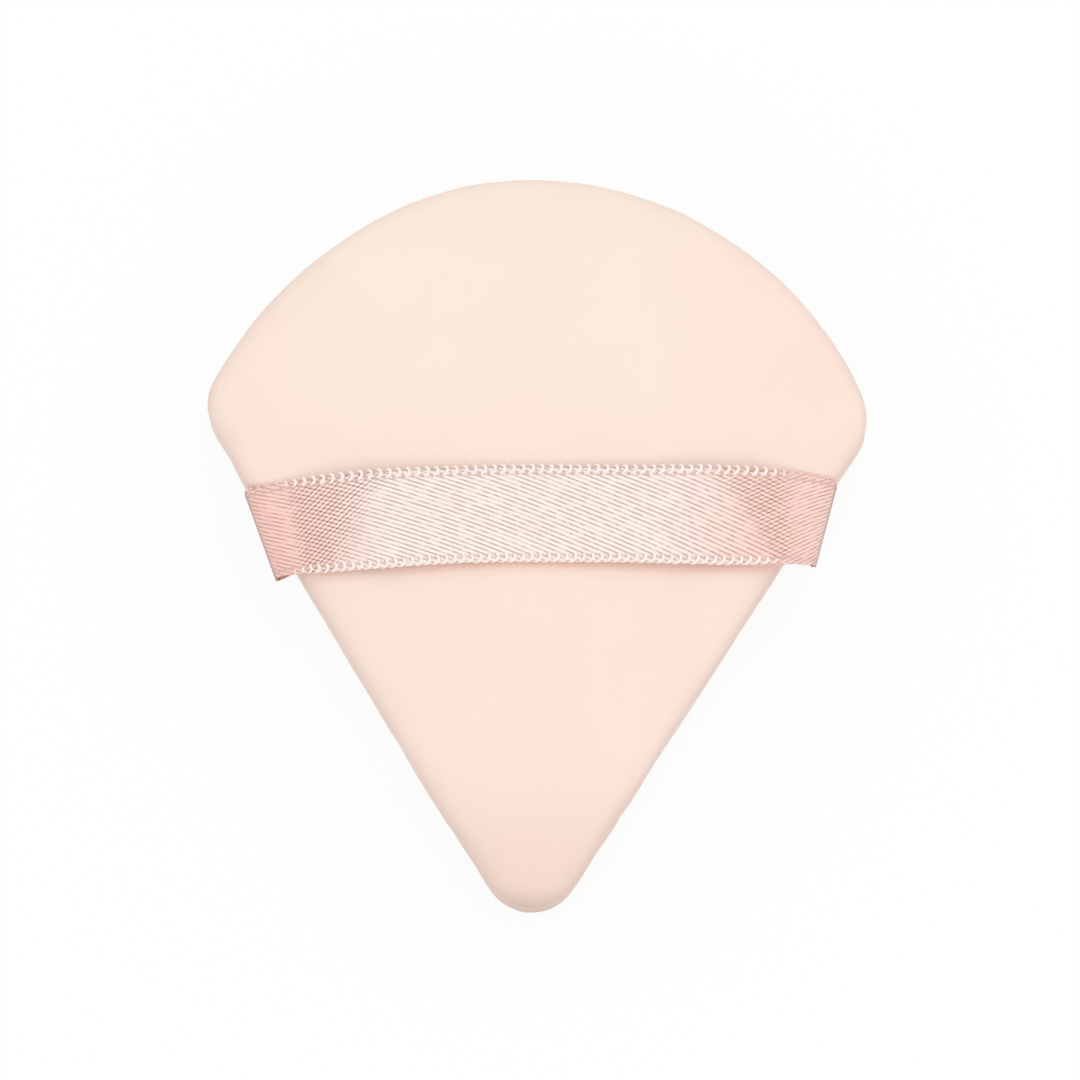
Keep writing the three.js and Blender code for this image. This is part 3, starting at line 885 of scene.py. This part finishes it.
def picot_edge(name, ribbon, edge):
    """The edge yarn, wound in a chain of small rings along an edge."""
    row = int(round((edge["side"] * edge["middle"] / RIBBON_WIDTH + 0.5) * (len(ribbon.across) - 1)))
    start, stop = ribbon.along[0] + PICOT_START, ribbon.along[-1] - PICOT_START
    place = np.linspace(start, stop, int((stop - start) / PICOT_PITCH * PICOT_STEPS))
    phase = TURN * place / PICOT_PITCH
    along = place + PICOT_CURL * np.sin(phase) - PICOT_LEAN * edge["reach"] * np.cos(phase)
    centre = taken_at(along, ribbon.along, ribbon.grid[row])
    normal = taken_at(along, ribbon.along, ribbon.normal[row])
    across = unit(taken_at(along, ribbon.along, ribbon.grid[row + 1] - ribbon.grid[row - 1]))
    free = 1 - smoothstep(np.abs(along), *edge["flatten"])
    raised = (1 + np.sin(phase)) / 2
    most, rate = PICOT_UNEVEN
    uneven = np.array([1 + most * noise.noise(Vector((p * rate, 3 + edge["side"], 0))) for p in place])
    reach = -edge["reach"] * uneven * rising(FLAT_REACH, free) * np.cos(phase)
    lift = (RIBBON_THICKNESS / 2 + PICOT_LIFT) * rising(FLAT_LIFT, free) * np.sin(phase)
    line = centre + across * reach[:, None] + normal * lift[:, None]
    width = PICOT_YARN[0] * rising(UNDER_WIDTH, raised)
    height = PICOT_YARN[1] * rising(FLAT_HEIGHT, free)
    # How pale each strand is: lit where a ring stands up, painted shade where it goes under
    return tube(name, line, np.stack([width, height], 1), normal, raised * rising(FLAT_PALE, free))


STITCH_LINE = around(np.linspace(0, OUTLINE_LENGTH - 1e-6, STITCH_LINE_POINTS), STITCH_INSET)
STITCH_LINE_LENGTH = path_length(STITCH_LINE)[-1]


def seam_point(distance, inward, height):
    """A point by the stitch line: a distance round it, a step to the inside and a height from the seam."""
    at = around([distance * OUTLINE_LENGTH / STITCH_LINE_LENGTH], STITCH_INSET + inward)
    return [*at[0], SEAM_HEIGHT + height]


def stitch_places(start, stop, length):
    count = round((stop - start) / length)
    return [start + (k + 0.5) * (stop - start) / count for k in range(count)]


def lock_stitches(places, facing):
    """Corners of the needle thread, facing 1, or of the bobbin thread that it locks with, facing -1."""
    dip = -THREAD_STEP / 2
    heights = [THREAD_RUN, dip, dip, THREAD_RUN]
    steps = [-THREAD_STEP, -THREAD_STEP, THREAD_STEP, THREAD_STEP]
    corners = []
    for place in places:
        for step, height in zip(steps, heights):
            along, inward = (0, step) if facing > 0 else (step, 0)
            corners.append(seam_point(place + along, inward, facing * height))
    return corners


def hand_stitches(places):
    """Corners of the closing thread, which goes down at one place and up at the next."""
    corners = []
    for k, place in enumerate(places):
        first = -THREAD_RUN if k % 2 else THREAD_RUN
        corners += [seam_point(place, 0, first), seam_point(place, 0, -first)]
    return corners


def sewing_thread(name, corners):
    """A two-ply thread along the corners of its stitches, bent round each corner."""
    line = spaced(np.array(corners), THREAD_SPACING)
    for _ in range(THREAD_EASING):
        line[1:-1] = (line[:-2] + 2 * line[1:-1] + line[2:]) / 4
    turn = TURN * path_length(line)[:, None] / THREAD_TWIST
    tangent = unit(np.gradient(line, axis=0))
    steady = unit(np.cross(tangent, THREAD_ASIDE))
    spin = steady * np.cos(turn) + np.cross(tangent, steady) * np.sin(turn)
    sections = np.tile([THREAD / 2, THREAD_HALF_HEIGHT], (len(line), 1))
    return tube(name, line, sections, spin, np.ones(len(line)))


# Materials
def linear(srgb):
    """An 8-bit sRGB colour as the linear colour that shaders take."""
    share = [c / 255 for c in srgb]
    return [c / 12.92 if c <= 0.04045 else ((c + 0.055) / 1.055) ** 2.4 for c in share] + [1.0]


class Nodes:
    """Adds nodes to a tree and joins them."""

    def __init__(self, tree):
        self.tree = tree

    def add(self, kind, inputs=None, **settings):
        node = self.tree.nodes.new("ShaderNode" + kind)
        for name, value in settings.items():
            setattr(node, name, value)
        for name, value in (inputs or {}).items():
            self.give(node.inputs[name], value)
        return node

    def give(self, socket, value):
        if isinstance(value, bpy.types.NodeSocket):
            self.tree.links.new(value, socket)
        else:
            socket.default_value = value

    def math(self, operation, a, b=0.0, c=0.0):
        return self.add("Math", {0: a, 1: b, 2: c}, operation=operation).outputs[0]

    def times(self, a, b):
        return self.math("MULTIPLY", a, b)

    def most(self, a, b):
        return self.math("MAXIMUM", a, b)

    def aside(self, value, middle):
        """How far a value is from a middle."""
        return self.math("ABSOLUTE", self.math("SUBTRACT", value, middle))

    def soften(self, value, low, high, to_low=0.0, to_high=1.0):
        inputs = {"Value": value, "From Min": low, "From Max": high, "To Min": to_low, "To Max": to_high}
        return self.add("MapRange", inputs, interpolation_type="SMOOTHSTEP").outputs["Result"]

    def mix(self, share, a, b):
        """A mix of two colours, each a socket or an 8-bit sRGB colour."""
        node = self.add("Mix", {"Factor": share}, data_type="RGBA", clamp_factor=True)
        sockets = [s for s in node.inputs if s.type == "RGBA"]
        for socket, colour in zip(sockets, (a, b)):
            self.give(socket, linear(colour) if isinstance(colour, tuple) else colour)
        return next(s for s in node.outputs if s.type == "RGBA")

    def noise(self, place, scale, detail):
        return self.add("TexNoise", {"Vector": place, "Scale": scale, "Detail": detail}).outputs["Fac"]

    def parts(self, vector):
        """The X, Y and Z of a vector."""
        return self.add("SeparateXYZ", {0: vector}).outputs

    def group(self, tree, **inputs):
        return self.add("Group", inputs, node_tree=tree).outputs

    def seen(self, *rays):
        """1 for the kinds of ray that look at a surface, and 0 for those that gather its light."""
        path = self.add("LightPath").outputs
        found = path[rays[0]]
        for ray in rays[1:]:
            found = self.most(found, path[ray])
        return found

    def millimetres(self):
        """The place on the piece in millimetres, in the part's own frame."""
        place = self.add("TexCoord").outputs["Object"]
        return self.add("VectorMath", {0: place, "Scale": 1000.0}, operation="SCALE").outputs[0]

    def attribute(self, name):
        return self.add("Attribute", attribute_name=name).outputs["Vector"]


def new_group(name, vector, values, outputs):
    """A node group with one vector input, inputs for values, and outputs."""
    tree = bpy.data.node_groups.new(name, "ShaderNodeTree")
    tree.interface.new_socket(name=vector, in_out="INPUT", socket_type="NodeSocketVector")
    for side, labels in (("INPUT", values), ("OUTPUT", outputs)):
        for label in labels:
            tree.interface.new_socket(name=label, in_out=side, socket_type="NodeSocketFloat")
    given = tree.nodes.new("NodeGroupInput").outputs
    return Nodes(tree), given, tree.nodes.new("NodeGroupOutput").inputs


def fibre_grain_group():
    """Uneven fibres: a fine and a broad grain, as a shade about one half and as a height."""
    nodes, given, put = new_group("fibre_grain", "Place", ["Grain", "Drift"], ["Shade", "Height"])
    fine = nodes.noise(given["Place"], given["Grain"], 3.0)
    broad = nodes.noise(given["Place"], given["Drift"], 2.0)
    nodes.give(put["Shade"], nodes.math("MULTIPLY_ADD", broad, 0.6, nodes.times(fine, 0.4)))
    nodes.give(put["Height"], fine)
    return nodes.tree


def yarn_twist_group():
    """Slanting grooves of a twisted yarn from its place along and round the yarn."""
    nodes, given, put = new_group("yarn_twist", "Yarn", ["Turn", "Plies"], ["Groove"])
    along, around_yarn, _ = nodes.parts(given["Yarn"])
    turns = nodes.math("DIVIDE", along, given["Turn"])
    phase = nodes.math("MULTIPLY_ADD", around_yarn, given["Plies"], turns)
    wave = nodes.math("SINE", nodes.times(phase, TURN))
    nodes.give(put["Groove"], nodes.soften(wave, 0.1, 0.95))
    return nodes.tree


def twill_lines_group():
    """Slanting lines of a weave from places along and across it. A negative run slants the other way.

    Trough is the soft hollow between two ribs, Line is its bottom, and Dash the dark floats along that.
    """
    forms = ["Trough", "Line", "Dash"]
    nodes, given, put = new_group("twill_lines", "Weave", ["Rise", "Run", "Float"], forms)
    u, v, _ = nodes.parts(given["Weave"])
    run = nodes.math("DIVIDE", u, given["Run"])
    phase = nodes.math("ADD", nodes.math("DIVIDE", v, given["Rise"]), run)
    wave = nodes.math("SINE", nodes.times(phase, TURN))
    row = nodes.times(nodes.math("FLOOR", phase), 3.7)
    along = nodes.math("DIVIDE", u, given["Float"])
    place = nodes.add("CombineXYZ", {"X": along, "Y": row}).outputs[0]
    kept = nodes.soften(nodes.noise(place, 1.0, 1.0), 0.36, 0.56, 0.25, 1.0)
    line = nodes.soften(wave, -0.9, -0.1, 1.0, 0.0)
    nodes.give(put["Trough"], nodes.soften(wave, -0.9, 0.5, 1.0, 0.0))
    nodes.give(put["Line"], line)
    nodes.give(put["Dash"], nodes.times(line, kept))
    return nodes.tree


FIBRE_GRAIN = fibre_grain_group()
YARN_TWIST = yarn_twist_group()
TWILL_LINES = twill_lines_group()


def new_material(name, roughness, shine):
    material = bpy.data.materials.new(name)
    material.use_nodes = True
    shader = material.node_tree.nodes["Principled BSDF"]
    shader.inputs["Roughness"].default_value = roughness
    shader.inputs["Specular IOR Level"].default_value = shine
    return material, Nodes(material.node_tree), shader


def finish(nodes, shader, colour, height, strength, depth):
    """Gives a shader its colour and its bumps, whose depth is in metres."""
    nodes.give(shader.inputs["Base Color"], colour)
    bump = nodes.add("Bump", {"Height": height, "Strength": strength, "Distance": depth})
    nodes.give(shader.inputs["Normal"], bump.outputs["Normal"])


def velour_material():
    """Short dense cut pile: matt, yellower in the middle of the broad end, with painted shade deepening
    towards the tip, a painted shadow on the tip's end and a painted shadow below the strap's lower edge.
    """
    material, nodes, shader = new_material("velour", roughness=0.95, shine=0.15)
    shader.inputs["Sheen Weight"].default_value = 0.04
    shader.inputs["Sheen Roughness"].default_value = 0.6
    place = nodes.millimetres()
    x, y, z = nodes.parts(place)
    grain = nodes.group(FIBRE_GRAIN, Place=place, Grain=3.2, Drift=0.11)
    beside = nodes.soften(nodes.aside(x, YELLOWED_MIDDLE), *YELLOWED_ASIDE)
    yellowed = nodes.times(nodes.soften(y, *YELLOWED_ALONG), beside)
    colour = nodes.mix(yellowed, PILE, PILE_YELLOWED)
    # Painted shade: the pile darkens towards the tip, where its face slopes away from the light
    colour = nodes.mix(nodes.soften(y, *TIP_SHADE_ALONG), colour, PILE_TIP_SHADE)
    # Painted shadow on the tip's end
    colour = nodes.mix(nodes.soften(y, *TIP_SHADOW_ALONG), colour, PILE_TIP_SHADOW)
    colour = nodes.mix(nodes.soften(grain["Shade"], 0.3, 0.75, 0.0, 0.4), colour, PILE_UNEVEN)
    # Painted shadow cast by the strap's lower edge
    colour = nodes.mix(strap_shadow_share(nodes, x, y, z), colour, PILE_STRAP_SHADOW)
    finish(nodes, shader, colour, grain["Height"], strength=0.3, depth=0.00012)
    return material


def strap_shadow_share(nodes, x, y, z):
    """How much painted shadow the lower edge of the strap casts on the pile below it."""
    slope = -math.tan(math.radians(STRAP_SLANT))
    offset = nodes.math("SUBTRACT", nodes.math("MULTIPLY_ADD", x, slope, y), STRAP_MIDDLE_Y)
    cast_shade = nodes.times(nodes.soften(offset, *STRAP_SHADOW_STARTS), nodes.soften(offset, *STRAP_SHADOW_ENDS))
    return nodes.times(cast_shade, nodes.soften(nodes.math("SUBTRACT", z, SEAM_HEIGHT), *STRAP_SHADOW_HEIGHT))


def ribbon_material():
    """Woven satin: a painted sheen makes it pale where it lies level, and its own deeper colour shows by
    its folds, where a second twill crosses; painted shade darkens the folds and the twill's hollows.
    """
    material, nodes, shader = new_material("ribbon_satin", roughness=0.5, shine=0.35)
    weave = nodes.attribute("weave")
    u, v, height = nodes.parts(weave)

    def slanted(slope, *span):
        return nodes.soften(nodes.math("MULTIPLY_ADD", v, slope, u), *span)

    def twill(run):
        return nodes.group(TWILL_LINES, Weave=weave, Rise=TWILL_RISE, Run=run, Float=TWILL_FLOAT)

    first = twill(TWILL_RUN)
    second = twill(nodes.soften(u, *SIDES, -LEFT_CROSS_RUN, -RIGHT_CROSS_RUN))
    left_cross = nodes.times(slanted(*LEFT_CROSS_STARTS), slanted(*LEFT_CROSS_ENDS))
    crossing = nodes.most(left_cross, slanted(*RIGHT_CROSS_STARTS))
    lasting = slanted(*TWILL_ENDS)

    def woven(form):
        return nodes.most(nodes.times(first[form], lasting), nodes.times(second[form], crossing))

    dashes = woven("Dash")
    # Painted sheen: pale where the ribbon lies level, fading to its own colour towards the folds
    past_sheen = nodes.soften(nodes.aside(u, SHEEN_MIDDLE), *SHEEN_FADE_ALONG)
    rosy = nodes.mix(nodes.soften(u, *SIDES), SATIN_LEFT, SATIN_RIGHT)
    colour = nodes.mix(past_sheen, SATIN_SHEEN, rosy)
    trough_colour = nodes.mix(past_sheen, TROUGH_SHEEN, TROUGH_TURNED)
    # Painted shade in the soft hollows between the twill's ribs
    colour = nodes.mix(nodes.times(woven("Trough"), TROUGH_SHADE_SHARE), colour, trough_colour)
    dash_colour = nodes.mix(past_sheen, DASH_SHEEN, DASH_TURNED)
    colour = nodes.mix(nodes.times(dashes, DASH_SHARE), colour, dash_colour)
    knots = nodes.times(nodes.times(first["Line"], second["Line"]), nodes.times(crossing, lasting))
    knots = nodes.times(knots, nodes.soften(u, *SIDES, 1.0, RIGHT_KNOTS))
    colour = nodes.mix(knots, colour, KNOT)
    # The selvage's own colour, with painted shade at the edge yarn's holes
    colour = nodes.mix(selvage(nodes, u, v), colour, SELVAGE_AND_HOLE_SHADE)
    # Painted shade on the ribbon where it turns down over its folds
    from_fold = nodes.math("SUBTRACT", height, FOLD_TOP)
    fold_shade = nodes.times(nodes.soften(from_fold, *FOLD_SHADE_STARTS), nodes.soften(from_fold, *FOLD_SHADE_ENDS))
    colour = nodes.mix(fold_shade, colour, FOLD_SHADE)
    grain = nodes.group(FIBRE_GRAIN, Place=weave, Grain=2.6, Drift=0.35)
    colour = nodes.mix(nodes.soften(grain["Shade"], 0.35, 0.7, 0.0, 0.12), colour, SATIN_UNEVEN)
    raised = nodes.math("SUBTRACT", nodes.times(grain["Height"], 0.5), dashes)
    finish(nodes, shader, colour, raised, strength=0.35, depth=0.00003)
    return material


def selvage(nodes, u, v):
    """How deep the ribbon's colour is along its edges, with painted shade most at the holes for the edge
    yarn.
    """
    spread = nodes.math("ABSOLUTE", v)
    wave = nodes.math("COSINE", nodes.times(u, TURN / PICOT_PITCH))
    hole = nodes.soften(nodes.times(wave, nodes.math("SIGN", v)), 0.2, 0.9)
    band = nodes.times(nodes.soften(spread, *SELVAGE_STARTS), nodes.soften(spread, *SELVAGE_ENDS))
    return nodes.times(band, nodes.math("MULTIPLY_ADD", hole, 0.6, 0.35))


def twisted(nodes, turn, plies):
    """The grooves of a twisted yarn, its grain, and the height that both give it."""
    yarn = nodes.attribute("yarn")
    groove = nodes.group(YARN_TWIST, Yarn=yarn, Turn=turn, Plies=plies)["Groove"]
    grain = nodes.group(FIBRE_GRAIN, Place=nodes.millimetres(), Grain=5.0, Drift=0.5)
    return groove, grain["Shade"], nodes.math("SUBTRACT", nodes.times(grain["Height"], 0.3), groove)


def thread_material():
    """Twisted sewing thread, with painted shade in the grooves between its plies and a random deeper grain.
    """
    material, nodes, shader = new_material("sewing_thread", roughness=0.7, shine=0.3)
    groove, shade, height = twisted(nodes, THREAD_TWIST, plies=1.0)
    # Painted shade in the grooves, mixed with random grain
    deeper = nodes.math("MULTIPLY_ADD", groove, 0.3, nodes.times(shade, 0.3))
    colour = nodes.mix(deeper, THREAD_PALE, THREAD_GROOVE_SHADE_AND_GRAIN)
    finish(nodes, shader, colour, height, strength=0.4, depth=0.00003)
    return material


def edge_yarn_material():
    """Loose lustrous yarn: pale where a ring stands up, in painted shade where it goes under and in its
    grooves, rosy by the folds.
    """
    material, nodes, shader = new_material("edge_yarn", roughness=0.6, shine=0.3)
    groove, _, height = twisted(nodes, EDGE_YARN_TWIST, plies=2.0)
    pale = nodes.parts(nodes.attribute("yarn"))["Z"]
    aside = nodes.math("ABSOLUTE", nodes.parts(nodes.millimetres())["X"])
    deep = nodes.mix(nodes.soften(aside, *LOOP_ROSY_ASIDE), LOOP_UNDER_SHADE, LOOP_ROSY)
    # Painted light and shade: pale where a ring stands up, shaded where it goes under
    colour = nodes.mix(nodes.soften(pale, 0.15, 0.75), deep, LOOP_PALE)
    # Painted shade in the twist's grooves
    colour = nodes.mix(nodes.times(groove, 0.2), colour, LOOP_GROOVE_SHADE)
    finish(nodes, shader, colour, height, strength=0.3, depth=0.00003)
    return material


def foam_material():
    """Fine open-cell foam: cream, with painted shade in its cells."""
    material, nodes, shader = new_material("foam", roughness=1.0, shine=0.1)
    place = nodes.millimetres()
    grain = nodes.group(FIBRE_GRAIN, Place=place, Grain=2.0, Drift=0.15)
    cells = nodes.add("TexVoronoi", {"Vector": place, "Scale": 2.4}).outputs["Distance"]
    walls = nodes.soften(cells, 0.15, 0.6)
    # Painted shade in the pits of the cells
    colour = nodes.mix(walls, FOAM_PIT_SHADE, FOAM)
    colour = nodes.mix(nodes.soften(grain["Shade"], 0.35, 0.7, 0.0, 0.3), colour, FOAM_UNEVEN)
    finish(nodes, shader, colour, walls, strength=0.6, depth=0.0001)
    return material


def floor_material():
    """A pale floor that shows white, with the soft shadow of what lies on it."""
    material = bpy.data.materials.new("floor_white")
    material.use_nodes = True
    nodes = Nodes(material.node_tree)
    material.node_tree.nodes.remove(material.node_tree.nodes["Principled BSDF"])
    looked_at = nodes.seen("Is Camera Ray", "Is Glossy Ray", "Is Transmission Ray")
    bounce = nodes.add("BsdfDiffuse", {"Color": [FLOOR_BOUNCE] * 3 + [1]}).outputs[0]
    shaded = nodes.add("BsdfDiffuse", {"Color": [FLOOR_SHADE] * 3 + [1]}).outputs[0]
    white = nodes.add("Emission", {"Color": [1, 1, 1, 1], "Strength": 1 - FLOOR_SHADE}).outputs[0]
    shown = nodes.add("AddShader", {0: shaded, 1: white}).outputs[0]
    mixed = nodes.add("MixShader", {0: looked_at, 1: bounce, 2: shown}).outputs[0]
    nodes.give(material.node_tree.nodes["Material Output"].inputs["Surface"], mixed)
    return material


# Camera, light and floor
def place_camera():
    elevation = math.radians(CAMERA_ELEVATION)
    back = Vector((0, -math.cos(elevation), math.sin(elevation)))
    camera = bpy.data.cameras.new("camera")
    camera.sensor_width = SENSOR
    camera.lens = SENSOR * CAMERA_DISTANCE / FRAME_WIDTH
    camera.clip_start, camera.clip_end = CAMERA_CLIP
    holder = bpy.data.objects.new("camera", camera)
    holder.location = Vector(CAMERA_AIM) + back * CAMERA_DISTANCE
    turn = (-back).to_track_quat("-Z", "Y").to_matrix()
    holder.rotation_euler = (turn @ Matrix.Rotation(math.radians(CAMERA_ROLL), 3, "Z")).to_euler()
    bpy.context.scene.collection.objects.link(holder)
    bpy.context.scene.camera = holder


def place_sky():
    """A plain white sky that lights the part at its own level."""
    world = bpy.data.worlds.new("studio")
    world.use_nodes = True
    nodes = Nodes(world.node_tree)
    looked_at = nodes.seen("Is Camera Ray", "Is Transmission Ray")
    strength = nodes.math("MULTIPLY_ADD", looked_at, 1 - SKY_LEVEL, SKY_LEVEL)
    background = world.node_tree.nodes["Background"]
    background.inputs["Color"].default_value = (1, 1, 1, 1)
    nodes.give(background.inputs["Strength"], strength)
    bpy.context.scene.world = world


def place_lamp(name, wanted):
    """A square lamp that faces the part. Its azimuth is measured from the broad end towards the right."""
    lamp = bpy.data.lights.new(name, "AREA")
    lamp.size = LAMP_SIZE
    lamp.energy = wanted["power"]
    holder = bpy.data.objects.new(name, lamp)
    elevation, azimuth = math.radians(wanted["elevation"]), math.radians(wanted["azimuth"])
    level = math.cos(elevation)
    towards = Vector((math.sin(azimuth) * level, math.cos(azimuth) * level, math.sin(elevation)))
    holder.location = towards * LAMP_DISTANCE
    holder.rotation_euler = towards.to_track_quat("Z", "Y").to_euler()
    bpy.context.scene.collection.objects.link(holder)


def place_floor():
    signs = ((-1, -1), (1, -1), (1, 1), (-1, 1))
    corners = [(x * FLOOR_REACH, y * FLOOR_REACH, 0) for x, y in signs]
    floor = new_piece("floor", corners, [(0, 1, 2, 3)])
    floor.data.materials.append(floor_material())


# The part
place_camera()
place_sky()
place_lamp("key", KEY_LAMP)
place_lamp("front", FRONT_LAMP)
place_floor()
bpy.context.scene.view_settings.view_transform = "Standard"

velour = velour_material()
front_swell, back_swell = rim_swell()
front = velour_cover("front_velour", 1, front_swell)
back = velour_cover("back_velour", -1, back_swell)
for cover, node in ((front, "front_cover"), (back, "back_cover")):
    cover.data.materials.append(velour)
    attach(cover, "puff")
    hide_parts(node)

core = foam_core()
core.data.materials.append(foam_material())
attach(core, "puff")
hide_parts("sponge_core")

surface = Ribbon(GROUND_WIDTH, RIBBON_STRIPS, RIBBON_STEP)
strap = woven_ribbon(surface)
strap.data.materials.append(ribbon_material())
whole = Ribbon(RIBBON_WIDTH, RIBBON_STRIPS, RIBBON_STEP)
edges = [
    picot_edge("ribbon_edge_upper", whole, UPPER_EDGE),
    picot_edge("ribbon_edge_lower", whole, LOWER_EDGE),
]
edge_yarn = edge_yarn_material()
for edge in edges:
    edge.data.materials.append(edge_yarn)
for piece in (strap, *edges):
    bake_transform(piece)
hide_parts("ribbon_strap", "ribbon_end_left", "ribbon_end_right")

closing_end = CLOSING_START + CLOSING_LENGTH
machine = stitch_places(closing_end, STITCH_LINE_LENGTH + CLOSING_START, STITCH_LENGTH)
by_hand = stitch_places(CLOSING_START, closing_end, CLOSING_STITCH)
sewing = thread_material()
threads = {
    "needle_thread": ("seam_needle_thread", lock_stitches(machine, 1)),
    "bobbin_thread": ("seam_bobbin_thread", lock_stitches(machine, -1)),
    "hand_thread": ("closing_thread", hand_stitches(by_hand)),
}
for name, (node, corners) in threads.items():
    thread = sewing_thread(name, corners)
    thread.data.materials.append(sewing)
    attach(thread, "puff")
    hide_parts(node)
